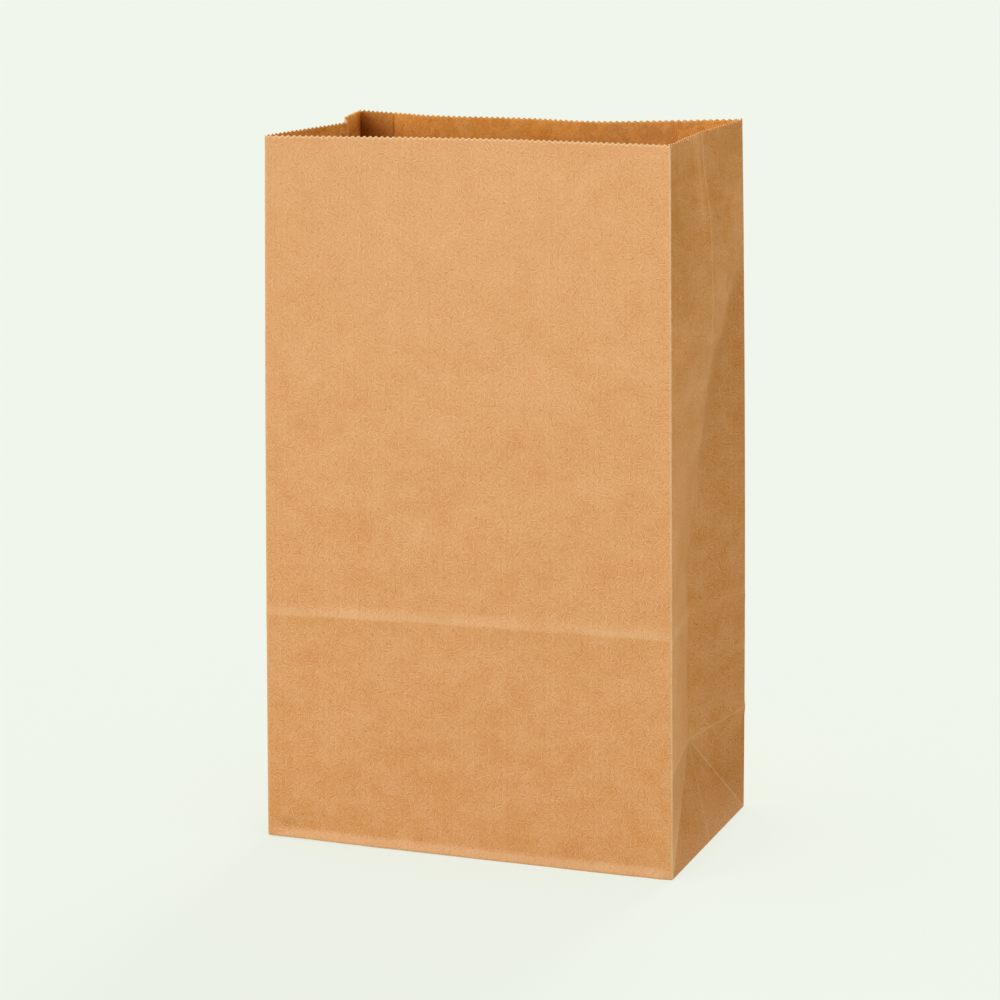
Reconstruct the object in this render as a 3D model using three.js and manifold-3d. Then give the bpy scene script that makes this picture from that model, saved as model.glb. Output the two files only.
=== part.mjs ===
// Brown paper lunch bag, standing open: one sheet of kraft paper, creased, folded and glued.
// Millimetres, Z up. X runs across the front panel, Y from front to back, and the base rests on Z = 0.

import * as THREE from "three";
import { mergeVertices } from "three/addons/utils/BufferGeometryUtils.js";
import Module from "manifold-3d";

// The folded sheet
const WIDTH = 150; // front and back panels, across the base
const DEPTH = 90; // side gussets, front to back at the base
const HEIGHT = 250; // floor to the tips of the rim's teeth, halfway along a gusset
const PAPER = 0.12; // thickness of the sheet

// The toothed cut at both ends of the tube
const TOOTH_PITCH = 2.15;
const TOOTH_DEPTH = 0.9;
const RIM_STRIP = 6; // band below the rim in which the teeth meet the plain wall
const RIM_RISE = 2; // the back of the rim stands this much above its front

// Glued overlaps
const LAP_WIDTH = 16.4; // lengthwise lap on the back panel: its inner edge, from the back left corner
const LAP_SETBACK = 2; // its outer edge, from the same corner
const FLAP_OVERLAP = 9; // how far each end flap passes the middle line of the base

// Creases left by the flat folded bag
const FOLD_HEIGHT = 37; // where the base's diagonal folds meet, on the middle of each gusset
const FOLD_PUSH = 8; // how far the gussets are pushed in at that point
const PRESS_HEIGHT = 82; // crease pressed all round by the edge of the folded base
const RIDGE_HALF = 4; // half the width of a pressed crease
const RIDGE = 0.4; // how far a crease stands out of its panel

// How the open walls stand
const MOUTH_INSET = 2.5; // each corner leans in by this much at the rim
const FRONT_BOW = 6; // inward bow of the front panel at the rim
const BACK_BOW = 13; // inward bow of the back panel at the rim
const RIGHT_BULGE = 1.3; // outward bulge of the right gusset, three quarters of the way up
const RIGHT_RIM_PUSH = 1.7; // inward push of the right gusset's crease at the rim
const LEFT_RIM_PUSH = 13; // inward push of the left gusset's crease at the rim
const LEFT_BULGE = 3; // outward bulge of the left gusset's back half at the rim

// Layers of the base: the back flap lies outermost, then the front flap, then the side flaps
const FRONT_FLAP_UNDERSIDE = PAPER;
const SIDE_FLAP_UNDERSIDE = 2 * PAPER;
const BASE_MIDDLE_TOP = 3 * PAPER;
const BASE_TOP = 4 * PAPER;
const FLAP_LENGTH = DEPTH / 2 + FLAP_OVERLAP;

// Columns across a wide panel and half a gusset, and rows from the pressed crease to the rim
const PANEL_COLUMNS = 12;
const HALF_GUSSET_COLUMNS = 5;
const WALL_ROWS = 8;

const KRAFT = { color: 0xd9a36b, roughness: 0.9, metalness: 0 };

const wasm = await Module();
wasm.setup();
const { lerp, smoothstep } = THREE.MathUtils;

// Share of the way up from one height to another, 0 below the first
function share(z, from, to) {
  return Math.max(0, z - from) / (to - from);
}

// 1 on the middle of a panel and 0 at its edges
function tent(across) {
  return 1 - Math.abs(2 * across - 1);
}

// Pressed crease across a panel, which fades out at the panel's folded edges
function ridge(across, z, height) {
  const band = Math.max(0, 1 - Math.abs(z - height) / RIDGE_HALF);
  return RIDGE * band * Math.min(1, tent(across) * HALF_GUSSET_COLUMNS);
}

// Inward bow of a wide panel, which grows from the base to the rim
function bow(across, z, amount) {
  const rise = share(z, BASE_TOP, HEIGHT);
  return amount * rise * rise * 4 * across * (1 - across);
}

// Foot of a gusset: a triangle that leans in from the base, between two diagonal folds
function gussetFoot(across, z) {
  return FOLD_PUSH * Math.min(share(z, BASE_TOP, FOLD_HEIGHT), tent(across));
}

// How far each wall stands out of the plane between its corners
function frontOut(across, z) {
  return ridge(across, z, PRESS_HEIGHT) - bow(across, z, FRONT_BOW);
}

function backOut(across, z) {
  const creases = ridge(across, z, PRESS_HEIGHT) + ridge(across, z, FOLD_HEIGHT);
  return creases - bow(across, z, BACK_BOW);
}

function rightOut(across, z) {
  if (z <= FOLD_HEIGHT) return -gussetFoot(across, z);
  const rise = share(z, FOLD_HEIGHT, HEIGHT);
  const bulged = lerp(FOLD_PUSH, -RIGHT_BULGE, smoothstep(rise, 0.25, 0.75));
  const push = bulged + (RIGHT_RIM_PUSH + RIGHT_BULGE) * smoothstep(rise, 0.8, 1);
  return ridge(across, z, PRESS_HEIGHT) - push * tent(across);
}

function leftOut(across, z) {
  if (z <= FOLD_HEIGHT) return -gussetFoot(across, z);
  const rise = share(z, FOLD_HEIGHT, HEIGHT);
  const push = lerp(FOLD_PUSH, LEFT_RIM_PUSH, smoothstep(rise, 0, 1));
  const backHalf = Math.sin(2 * Math.PI * Math.min(across, 0.5));
  const bulge = LEFT_BULGE * smoothstep(rise, 0.3, 1) * backHalf;
  return ridge(across, z, PRESS_HEIGHT) + bulge - push * tent(across);
}

// A station is a place across a wall, with the depths of the sheet's two faces behind the wall's
// surface. Two stations in order at one place make the step of a glued edge.
function station(across, outer = 0, inner = PAPER, order = 0) {
  return { across, outer, inner, order };
}

function inOrder(a, b) {
  return a.across - b.across || a.order - b.order;
}

function plainStations(places) {
  return places.map((across) => station(across));
}

// The back wall is two sheets thick over the lap, which ends just short of the back left corner
function backStations(places) {
  const lapInner = 1 - LAP_WIDTH / WIDTH;
  const lapOuter = 1 - LAP_SETBACK / WIDTH;
  const single = places.filter((across) => across < lapInner);
  const double = places.filter((across) => across > lapInner && across < lapOuter);
  return [
    ...single.map((across) => station(across)),
    station(lapInner, 0, PAPER),
    station(lapInner, 0, 2 * PAPER, 1),
    ...double.map((across) => station(across, 0, 2 * PAPER)),
    station(lapOuter, 0, 2 * PAPER),
    station(lapOuter, PAPER, 2 * PAPER, 1),
    station(1, PAPER, 2 * PAPER),
  ];
}

// The four walls, anticlockwise from above. Each runs between two corners, given by their signs
// in X and Y, and its foot is the layer of the base that it folds into.
const walls = [
  { from: [-1, -1], to: [1, -1], out: [0, -1], length: WIDTH, columns: PANEL_COLUMNS,
    push: frontOut, stationsAt: plainStations, foot: 1 },
  { from: [1, -1], to: [1, 1], out: [1, 0], length: DEPTH, columns: 2 * HALF_GUSSET_COLUMNS,
    push: rightOut, stationsAt: plainStations, foot: 2 },
  { from: [1, 1], to: [-1, 1], out: [0, 1], length: WIDTH, columns: PANEL_COLUMNS,
    push: backOut, stationsAt: backStations, foot: 0 },
  { from: [-1, 1], to: [-1, -1], out: [-1, 0], length: DEPTH, columns: 2 * HALF_GUSSET_COLUMNS,
    push: leftOut, stationsAt: plainStations, foot: 2 },
];

function evenly(count) {
  return Array.from({ length: count + 1 }, (_, i) => i / count);
}

for (const wall of walls) {
  wall.stations = wall.stationsAt(evenly(wall.columns));
}

walls.forEach((wall, i) => {
  wall.next = walls[(i + 1) % walls.length];
  wall.next.previous = wall;
});

// Corner of the bag at a height, leaning in towards the rim
function cornerAt([signX, signY], z) {
  const inset = MOUTH_INSET * share(z, BASE_TOP, HEIGHT);
  return new THREE.Vector3(signX * (WIDTH / 2 - inset), signY * (DEPTH / 2 - inset), z);
}

function moveOut(point, wall, distance) {
  point.x += wall.out[0] * distance;
  point.y += wall.out[1] * distance;
}

// Point on the outer or inner face of the sheet. On a corner it lies behind both walls.
function sheetPoint(wall, place, z, face) {
  const point = cornerAt(wall.from, z).lerp(cornerAt(wall.to, z), place.across);
  moveOut(point, wall, wall.push(place.across, z) - place[face]);
  if (place.across === 0) moveOut(point, wall.previous, -wall.previous.stations.at(-1)[face]);
  if (place.across === 1) moveOut(point, wall.next, -wall.next.stations[0][face]);
  return point;
}

// Height of the teeth's tips, which climbs from front to back
function rimHeight(wall, across) {
  return HEIGHT + RIM_RISE * lerp(wall.from[1], wall.to[1], across) / 2;
}

// Heights of the rows of points at a place: the base's layers, the gusset's diagonal folds,
// the pressed crease, and the plain wall up to the strip below the rim
function rowHeights(wall, across) {
  const layers = [0, FRONT_FLAP_UNDERSIDE, SIDE_FLAP_UNDERSIDE, BASE_TOP];
  const folds = evenly(HALF_GUSSET_COLUMNS).slice(1).map((t) => lerp(BASE_TOP, FOLD_HEIGHT, t));
  const pressTop = PRESS_HEIGHT + RIDGE_HALF;
  const press = [PRESS_HEIGHT - RIDGE_HALF, PRESS_HEIGHT, pressTop];
  const stripFoot = rimHeight(wall, across) - RIM_STRIP;
  const plain = evenly(WALL_ROWS).slice(1).map((t) => lerp(pressTop, stripFoot, t));
  return [...layers, ...folds, ...press, ...plain];
}

function facesAt(wall, place, z) {
  return {
    ...place,
    outer: sheetPoint(wall, place, z, "outer"),
    inner: sheetPoint(wall, place, z, "inner"),
  };
}

// Column of points up a wall, on both faces of the sheet
function wallColumn(wall, place) {
  return rowHeights(wall, place.across).map((z) => facesAt(wall, place, z));
}

// Toothed edge of a wall, with a valley on each corner
function rimPoints(wall) {
  const teeth = Math.round(wall.length / TOOTH_PITCH);
  const places = evenly(2 * teeth);
  return wall.stationsAt(places).map((place) => {
    const half = place.across * 2 * teeth;
    const drop = Math.abs(1 - (half % 2));
    return facesAt(wall, place, rimHeight(wall, place.across) - TOOTH_DEPTH * drop);
  });
}

const corners = [];

function addTriangle(a, b, c) {
  if (a.equals(b) || b.equals(c) || c.equals(a)) return;
  for (const point of [a, b, c]) corners.push(point.x, point.y, point.z);
}

// Quad a, b, c, d, anticlockwise from the side it faces, split from a to c or from b to d
function addQuad(a, b, c, d, rising = true) {
  if (rising) {
    addTriangle(a, b, c);
    addTriangle(a, c, d);
  } else {
    addTriangle(a, b, d);
    addTriangle(b, c, d);
  }
}

// Plain wall between two columns, split along the diagonal folds of the gussets
function addStrip(left, right, wall) {
  const rising = right[0].across <= 0.5;
  for (let row = wall.foot; row < left.length - 1; row += 1) {
    const [a, b, c, d] = [left[row], right[row], right[row + 1], left[row + 1]];
    addQuad(a.outer, b.outer, c.outer, d.outer, rising);
    addQuad(b.inner, a.inner, d.inner, c.inner, !rising);
  }
  const [start, end] = [left[wall.foot], right[wall.foot]];
  addQuad(start.outer, start.inner, end.inner, end.outer);
}

// Strip between the top row of the plain wall and the toothed edge, walked from left to right
function addRim(lower, upper) {
  let [i, j] = [0, 0];
  while (i < lower.length - 1 || j < upper.length - 1) {
    const upperNext = upper[j + 1];
    const lowerNext = lower[i + 1];
    if (!lowerNext || (upperNext && inOrder(upperNext, lowerNext) <= 0)) {
      addTriangle(lower[i].outer, upperNext.outer, upper[j].outer);
      addTriangle(lower[i].inner, upper[j].inner, upperNext.inner);
      addQuad(upper[j].outer, upperNext.outer, upperNext.inner, upper[j].inner);
      j += 1;
    } else {
      addTriangle(lower[i].outer, lowerNext.outer, upper[j].outer);
      addTriangle(lower[i].inner, upper[j].inner, lowerNext.inner);
      i += 1;
    }
  }
}

// Step at a corner between two walls that fold into different layers of the base
function addCornerStep(column, foot, nextFoot) {
  for (let row = Math.min(foot, nextFoot); row < Math.max(foot, nextFoot); row += 1) {
    const [low, high] = [column[row], column[row + 1]];
    if (foot < nextFoot) addQuad(low.outer, low.inner, high.inner, high.outer);
    else addQuad(low.inner, low.outer, high.outer, high.inner);
  }
}

for (const wall of walls) {
  const columns = wall.stations.map((place) => wallColumn(wall, place));
  for (let i = 0; i < columns.length - 1; i += 1) {
    addStrip(columns[i], columns[i + 1], wall);
  }
  addRim(columns.map((column) => column.at(-1)), rimPoints(wall));
  addCornerStep(columns.at(-1), wall.foot, wall.next.foot);
}

function solidOf(geometry) {
  geometry.deleteAttribute("normal");
  geometry.deleteAttribute("uv");
  const merged = mergeVertices(geometry);
  const vertProperties = new Float32Array(merged.attributes.position.array);
  const triVerts = new Uint32Array(merged.index.array);
  return new wasm.Manifold(new wasm.Mesh({ numProp: 3, vertProperties, triVerts }));
}

function tubeSolid() {
  const geometry = new THREE.BufferGeometry();
  geometry.setAttribute("position", new THREE.Float32BufferAttribute(corners, 3));
  return solidOf(geometry);
}

// The base is drawn to the middle of the walls' thickness
const baseX = (WIDTH - PAPER) / 2;
const baseY = (DEPTH - PAPER) / 2;

// Toothed cut from one point to another, with its valleys on the left of that direction
function toothedEdge(from, to) {
  const along = to.clone().sub(from);
  const left = new THREE.Vector2(-along.y, along.x).setLength(TOOTH_DEPTH);
  const teeth = Math.round(along.length() / TOOTH_PITCH);
  return evenly(2 * teeth).map((t, i) => from.clone().addScaledVector(along, t).addScaledVector(left, i % 2));
}

function layer(outline, bottom, top) {
  const options = { depth: top - bottom, bevelEnabled: false };
  return solidOf(new THREE.ExtrudeGeometry(new THREE.Shape(outline), options).translate(0, 0, bottom));
}

// Flap at the end of a wide panel: its corners fold under along 45 degree lines
function endFlap(side, underside) {
  const cutX = baseX - FLAP_LENGTH;
  const cutY = side * (baseY - FLAP_LENGTH);
  const outline = [
    new THREE.Vector2(-side * baseX, side * baseY),
    ...toothedEdge(new THREE.Vector2(-side * cutX, cutY), new THREE.Vector2(side * cutX, cutY)),
    new THREE.Vector2(side * baseX, side * baseY),
  ];
  return layer(outline, underside, BASE_MIDDLE_TOP);
}

// Flap at the end of a gusset, which lies on top inside the bag
function sideFlap(side) {
  const cutX = side * (baseX - FLAP_LENGTH);
  const outline = [
    new THREE.Vector2(side * baseX, side * baseY),
    ...toothedEdge(new THREE.Vector2(cutX, side * baseY), new THREE.Vector2(cutX, -side * baseY)),
    new THREE.Vector2(side * baseX, -side * baseY),
  ];
  return layer(outline, SIDE_FLAP_UNDERSIDE, BASE_TOP);
}

function baseMiddle() {
  const outline = [[-1, -1], [1, -1], [1, 1], [-1, 1]].map(([x, y]) => new THREE.Vector2(x * baseX, y * baseY));
  return layer(outline, SIDE_FLAP_UNDERSIDE, BASE_MIDDLE_TOP);
}

function bagGeometry() {
  const solid = tubeSolid()
    .add(baseMiddle())
    .add(sideFlap(-1))
    .add(sideFlap(1))
    .add(endFlap(-1, FRONT_FLAP_UNDERSIDE))
    .add(endFlap(1, 0));
  const { vertProperties, triVerts } = solid.getMesh();
  const geometry = new THREE.BufferGeometry();
  geometry.setAttribute("position", new THREE.BufferAttribute(vertProperties, 3));
  geometry.setIndex(new THREE.BufferAttribute(triVerts, 1));
  geometry.computeVertexNormals();
  return geometry;
}

const paperBag = new THREE.Mesh(bagGeometry(), new THREE.MeshStandardMaterial(KRAFT));
paperBag.name = "paper_bag";

const lunchBag = new THREE.Group();
lunchBag.add(paperBag);

export default lunchBag;
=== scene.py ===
"""Brown paper lunch bag: the creased kraft sheet, a pale floor, soft light and the camera."""
import math

import bpy
import numpy as np
from mathutils import Matrix, Vector


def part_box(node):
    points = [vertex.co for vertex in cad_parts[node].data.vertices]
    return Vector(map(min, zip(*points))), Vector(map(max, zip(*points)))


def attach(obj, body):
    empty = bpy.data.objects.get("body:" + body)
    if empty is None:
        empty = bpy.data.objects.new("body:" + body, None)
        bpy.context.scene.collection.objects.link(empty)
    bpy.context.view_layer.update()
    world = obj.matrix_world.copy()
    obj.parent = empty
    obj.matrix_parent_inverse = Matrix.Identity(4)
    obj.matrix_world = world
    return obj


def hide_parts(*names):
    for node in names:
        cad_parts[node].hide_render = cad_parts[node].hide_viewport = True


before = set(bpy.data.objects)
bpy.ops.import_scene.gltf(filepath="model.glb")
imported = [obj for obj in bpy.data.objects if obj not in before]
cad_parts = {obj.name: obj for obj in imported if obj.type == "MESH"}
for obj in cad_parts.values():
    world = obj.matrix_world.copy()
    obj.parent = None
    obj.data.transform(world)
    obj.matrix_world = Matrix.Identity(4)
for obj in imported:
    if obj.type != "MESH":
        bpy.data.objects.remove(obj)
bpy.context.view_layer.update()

# Sizes are in millimetres until the mesh is made, and the rim rises by RIM_RISE from front to back
MM = 0.001
node_low, node_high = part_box("paper_bag")
RIM_RISE = 2.0
WIDTH = (node_high[0] - node_low[0]) / MM
DEPTH = (node_high[1] - node_low[1]) / MM
HEIGHT = node_high[2] / MM - RIM_RISE / 2

# The sheet: its thickness at the rim and below it, its lap and the flaps of its base
PAPER = 0.15
SKIN_GAP = 0.35
LAP_WIDTH = 16.4
LAP_SETBACK = 2.0
FLAP_LENGTH = DEPTH / 2 + 9.0
FLAP_INSET = 0.9

# The toothed cut, with coarser and curled teeth on the right gusset
TOOTH_PITCH = 2.15
PANEL_TOOTH = 0.65
OPEN_PITCH = 2.65
OPEN_TOOTH = 0.9
OPEN_CURL = 0.6
RIM_STRIP = 3.0
TOOTH_STRIP = 1.2

# Folds
CORNER_RADIUS = 0.4
CORNER_STEPS = 3
TOE_RADIUS = 0.5
FOLD_HEIGHT = 37.0
FOLD_PUSH = 8.0

# Distances to a fold or to the cut edge are kept within this
FAR = 9.0


def share(value, start, end):
    return np.clip((value - start) / (end - start), 0.0, 1.0)


def smooth(value, start, end):
    t = share(value, start, end)
    return t * t * (3.0 - 2.0 * t)


def blend(a, b, t):
    return a + (b - a) * t


def tent(f):
    return 1.0 - np.abs(2.0 * f - 1.0)


def bell(value, centre, spread):
    return np.exp(-(((value - centre) / spread) ** 2))


def peak(distance, reach):
    return np.clip(1.0 - np.abs(distance) / reach, 0.0, 1.0)


# A ripple is a sum of waves, and their lengths range between these factors
RIPPLE_WAVES = 14
RIPPLE_RANGE = (0.65, 1.5)


def ripple(u, v, wavelength, seed):
    """Seeded waves in many directions, with a spread of about 1."""
    draw = np.random.RandomState(seed)
    total = np.zeros(np.broadcast(u, v).shape)
    for _ in range(RIPPLE_WAVES):
        angle = draw.uniform(0.0, 2.0 * math.pi)
        step = 2.0 * math.pi / (wavelength * draw.uniform(*RIPPLE_RANGE))
        phase = draw.uniform(0.0, 2.0 * math.pi)
        total += np.sin(step * (u * math.cos(angle) + v * math.sin(angle)) + phase)
    return total / math.sqrt(RIPPLE_WAVES / 2.0)


# Heights of the pressed crease at the corners, and the rise of the base's fold at the back ones
PRESS_FRONT_LEFT = 81.3
PRESS_FRONT_RIGHT = 83.3
PRESS_BACK_RIGHT = 79.8
PRESS_BACK_LEFT = 80.6
FOLD_RISE_RIGHT = 1.0
FOLD_RISE_LEFT = 1.4


# Heights of the creases that cross a wall, at a share f of the way along it
def front_press(f):
    return blend(PRESS_FRONT_LEFT, PRESS_FRONT_RIGHT, 1.0 - (1.0 - f) ** 2)


def right_press(f):
    return blend(PRESS_FRONT_RIGHT, PRESS_BACK_RIGHT, f)


def back_press(f):
    return blend(PRESS_BACK_RIGHT, PRESS_BACK_LEFT, f)


def left_press(f):
    return blend(PRESS_BACK_LEFT, PRESS_FRONT_LEFT, f)


def no_fold(f):
    return -FAR + 0.0 * f


def right_fold(f):
    return FOLD_HEIGHT + FOLD_RISE_RIGHT * share(f, 0.5, 1.0)


def back_fold(f):
    return FOLD_HEIGHT + blend(FOLD_RISE_RIGHT, FOLD_RISE_LEFT, f)


def left_fold(f):
    return FOLD_HEIGHT + FOLD_RISE_LEFT * share(f, 0.5, 0.0)


def edge_fade(f, length, reach):
    return smooth(np.minimum(f, 1.0 - f) * length, 0.0, reach)


# A crease: how far it stands out, its reach up and down, and its share and fade at the wall's edges
FRONT_PRESS_ABOVE = 4.0
FRONT_PRESS_BELOW = 6.0
FRONT_PRESS = (0.30, FRONT_PRESS_ABOVE, 0.35, 8.0)
BACK_PRESS = (0.4, 4.0, 0.0, 8.0)
BACK_FOLD = (0.45, 3.0, 0.4, 6.0)
RIGHT_PRESS = (0.28, 3.0, 0.3, 5.0)
LEFT_PRESS = (0.28, 3.0, 0.0, 5.0)


def ridge(f, gap, length, crease, more_out=0.0):
    """How far a crease stands out at a distance from it, up or down the wall."""
    out, reach, at_edge, fade = crease
    return (out + more_out) * peak(gap, reach) * blend(at_edge, 1.0, edge_fade(f, length, fade))


# Cockle of the paper: the amount, wavelength and seed of each ripple, and its fade at the walls' edges
PRESS_RIPPLES = ((0.08, 40.0, 3),)
FRONT_RIPPLES = ((0.16, 48.0, 11), (0.035, 15.0, 12))
BACK_RIPPLES = ((0.18, 44.0, 21), (0.05, 16.0, 22))
RIM_RIPPLES = ((0.22, 22.0, 23),)
RIM_RIPPLE_RISE = (175.0, 235.0)
COCKLE_FADE = 12.0
GUSSET_COARSE = (0.14, 34.0)
GUSSET_FINE = (0.03, 14.0)
GUSSET_FINE_SQUEEZE = 2.0
GUSSET_FADE = 9.0
GUSSET_RISE = (FOLD_HEIGHT - 8.0, FOLD_HEIGHT + 20.0)
RIGHT_SEED = 31
LEFT_SEED = 41


def cockle(x, z, ripples):
    return sum(amount * ripple(x, z, wavelength, seed) for amount, wavelength, seed in ripples)


def gusset_cockle(f, y, z, seed):
    """Coarse ripples, and fine ones that are drawn out upwards. There are none at the foot."""
    coarse, coarse_length = GUSSET_COARSE
    fine, fine_length = GUSSET_FINE
    out = coarse * ripple(y, z, coarse_length, seed)
    out = out + fine * ripple(y * GUSSET_FINE_SQUEEZE, z / GUSSET_FINE_SQUEEZE, fine_length, seed + 1)
    return out * edge_fade(f, DEPTH, GUSSET_FADE) * smooth(z, *GUSSET_RISE)


# Front panel: its bow, and the toe with a groove above it that deepens near the corners
FRONT_BOW = 6.0
TOE_OUT = 0.75
TOE_HEIGHT = 3.7
TOE_FADE = 5.0
GROOVE = 0.07
GROOVE_TOP = 11.0
GROOVE_LEFT = 0.34
GROOVE_LEFT_PLACE = (-65.0, 9.0)
GROOVE_RIGHT = 0.12
GROOVE_RIGHT_PLACE = (66.0, 7.0)


# How far each wall stands out of the plane between its corners
def front_out(f, z):
    x = (f - 0.5) * WIDTH
    gap = z - front_press(f)
    gap = np.where(gap < 0.0, gap * FRONT_PRESS_ABOVE / FRONT_PRESS_BELOW, gap)
    out = ridge(f, gap, WIDTH, FRONT_PRESS, cockle(x, 0.0 * z, PRESS_RIPPLES))
    out = out - FRONT_BOW * share(z, 0.0, HEIGHT) ** 2 * 4.0 * f * (1.0 - f)
    out = out + cockle(x, z, FRONT_RIPPLES) * edge_fade(f, WIDTH, COCKLE_FADE)
    groove = GROOVE + GROOVE_LEFT * bell(x, *GROOVE_LEFT_PLACE)
    groove = groove + GROOVE_RIGHT * bell(x, *GROOVE_RIGHT_PLACE)
    toe = TOE_OUT * (1.0 - share(z, 0.0, TOE_HEIGHT))
    toe = toe - groove * (1.0 - smooth(z, TOE_HEIGHT, GROOVE_TOP))
    return out + toe * edge_fade(f, WIDTH, TOE_FADE)


# Back panel: its bow at the rim, with the reach of the bow from either edge, and a dent in it
BACK_BOW = 12.0
BACK_BOW_LEFT = 48.0
BACK_BOW_RIGHT = 40.0
BACK_DENT = 4.0
BACK_DENT_PLACE = (22.0, 16.0)


def back_bow(f):
    """Inward bow of the back panel at the rim: flat in the middle, and deepest on the right."""
    x = (0.5 - f) * WIDTH
    from_edge = np.minimum(f, 1.0 - f) * WIDTH
    reach = np.where(x < 0.0, BACK_BOW_LEFT, BACK_BOW_RIGHT)
    turn = 0.5 * math.pi * share(from_edge, 0.0, reach)
    return BACK_BOW * np.sin(turn) + BACK_DENT * bell(x, *BACK_DENT_PLACE)


def back_out(f, z):
    x = (0.5 - f) * WIDTH
    out = -back_bow(f) * share(z, 0.0, HEIGHT) ** 2
    out = out + ridge(f, z - back_press(f), WIDTH, BACK_PRESS)
    out = out + ridge(f, z - back_fold(f), WIDTH, BACK_FOLD)
    waves = cockle(x, z, BACK_RIPPLES) + cockle(x, z, RIM_RIPPLES) * smooth(z, *RIM_RIPPLE_RISE)
    return out + waves * edge_fade(f, WIDTH, COCKLE_FADE)


def gusset_foot(f, z):
    return FOLD_PUSH * np.minimum(share(z, 0.0, FOLD_HEIGHT), tent(f))


# Right gusset: its bulge, and the height and reach of the turn from pushed in to bulged out
RIGHT_BULGE = 1.3
RIGHT_RIM_PUSH = 1.7
RIGHT_RIM_FROM = 207.0
TURN_HEIGHT = 143.5
TURN_RISE = 62.0
TURN_RISE_POWER = 0.85
TURN_REACH_FRONT = 53.0
TURN_REACH_BACK = 6.0
TURN_REACH_POWER = 0.7


def right_push(f, z):
    """Inward push of the right gusset's crease. Towards the back edge it changes higher up and faster."""
    back = share(f, 0.5, 1.0)
    middle = TURN_HEIGHT + TURN_RISE * back**TURN_RISE_POWER
    reach = blend(TURN_REACH_FRONT, TURN_REACH_BACK, back**TURN_REACH_POWER)
    bulged = blend(FOLD_PUSH, -RIGHT_BULGE, smooth(z, middle - reach, middle + reach))
    return bulged + (RIGHT_RIM_PUSH + RIGHT_BULGE) * smooth(z, RIGHT_RIM_FROM, HEIGHT)


def right_out(f, z):
    y = (f - 0.5) * DEPTH
    above = ridge(f, z - right_press(f), DEPTH, RIGHT_PRESS) - right_push(f, z) * tent(f)
    out = np.where(z <= FOLD_HEIGHT, -gusset_foot(f, z), above)
    return out + gusset_cockle(f, y, z, RIGHT_SEED)


# Left gusset: pushed in at the rim, with a bulge in its back half that starts part of the way up
LEFT_RIM_PUSH = 13.0
LEFT_BULGE = 3.0
LEFT_BULGE_PLACE = 0.32
LEFT_BULGE_FROM = 0.3


def left_out(f, z):
    y = (0.5 - f) * DEPTH
    rise = share(z, FOLD_HEIGHT, HEIGHT)
    push = blend(FOLD_PUSH, LEFT_RIM_PUSH, smooth(rise, 0.0, 1.0))
    bend = np.minimum(share(f, 0.0, LEFT_BULGE_PLACE), share(f, 0.5, LEFT_BULGE_PLACE))
    bulge = LEFT_BULGE * smooth(rise, LEFT_BULGE_FROM, 1.0) * bend
    above = ridge(f, z - left_press(f), DEPTH, LEFT_PRESS) + bulge - push * tent(f)
    out = np.where(z <= FOLD_HEIGHT, -gusset_foot(f, z), above)
    return out + gusset_cockle(f, y, z, LEFT_SEED)


class Wall:
    """One wall of the bag, from corner to corner, anticlockwise from above."""

    def __init__(self, start, end, outward, length, first_u, out, press, fold):
        self.start = np.array(start)
        self.end = np.array(end)
        self.outward = np.array(outward)
        self.length = length
        self.wide = length == WIDTH
        self.first_u = first_u
        self.out = out
        self.press = press
        self.fold = fold


WALLS = [
    Wall((-1, -1), (1, -1), (0, -1), WIDTH, 0.0, front_out, front_press, no_fold),
    Wall((1, -1), (1, 1), (1, 0), DEPTH, WIDTH, right_out, right_press, right_fold),
    Wall((1, 1), (-1, 1), (0, 1), WIDTH, WIDTH + DEPTH, back_out, back_press, back_fold),
    Wall((-1, 1), (-1, -1), (-1, 0), DEPTH, -DEPTH, left_out, left_press, left_fold),
]
FRONT, RIGHT, BACK, LEFT = WALLS


# Corners lean in by MOUTH_INSET, and stand out sideways at the foot, at the rim and halfway up
MOUTH_INSET = 2.5
CORNER_SHIFTS = {
    (-1, -1): (0.3, -0.15, 0.33),
    (1, -1): (0.35, -0.3, 0.0),
    (1, 1): (-0.18, -0.22, 0.75),
    (-1, 1): (0.18, 0.18, 0.4),
}
BUMP_CORNER = (1, 1)
BUMP_HEIGHT = 37.9
BUMP_OUT = 0.3
BUMP_REACH = 2.6


def corner_at(signs, z):
    """Corner of the bag at a height. It leans in, and the back right one bumps out where the base folds."""
    signs = tuple(signs)
    rise = share(z, 0.0, HEIGHT)
    inset = MOUTH_INSET * np.clip(z / HEIGHT, 0.0, None)
    foot, rim, bulge = CORNER_SHIFTS[signs]
    shift = blend(foot, rim, rise) + bulge * 4.0 * rise * (1.0 - rise)
    bump = BUMP_OUT * peak(z - BUMP_HEIGHT, BUMP_REACH) if signs == BUMP_CORNER else 0.0
    x = signs[0] * (WIDTH / 2 - inset + shift + bump)
    y = signs[1] * (DEPTH / 2 - inset)
    return np.stack(np.broadcast_arrays(x, y), axis=-1)


# The foot stands off the floor at the front left corner, and less with distance and height
TOE_LIFT = 0.42
TOE_LIFT_TOP = 20.0
TOE_LIFT_FRONT = 0.8
TOE_LIFT_LEFT = 0.6


def toe_lift(wall, f):
    if wall is FRONT:
        return TOE_LIFT * (1.0 - share(f, 0.0, TOE_LIFT_FRONT))
    if wall is LEFT:
        return TOE_LIFT * share(f, 1.0 - TOE_LIFT_LEFT, 1.0)
    return 0.0 * f


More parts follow.
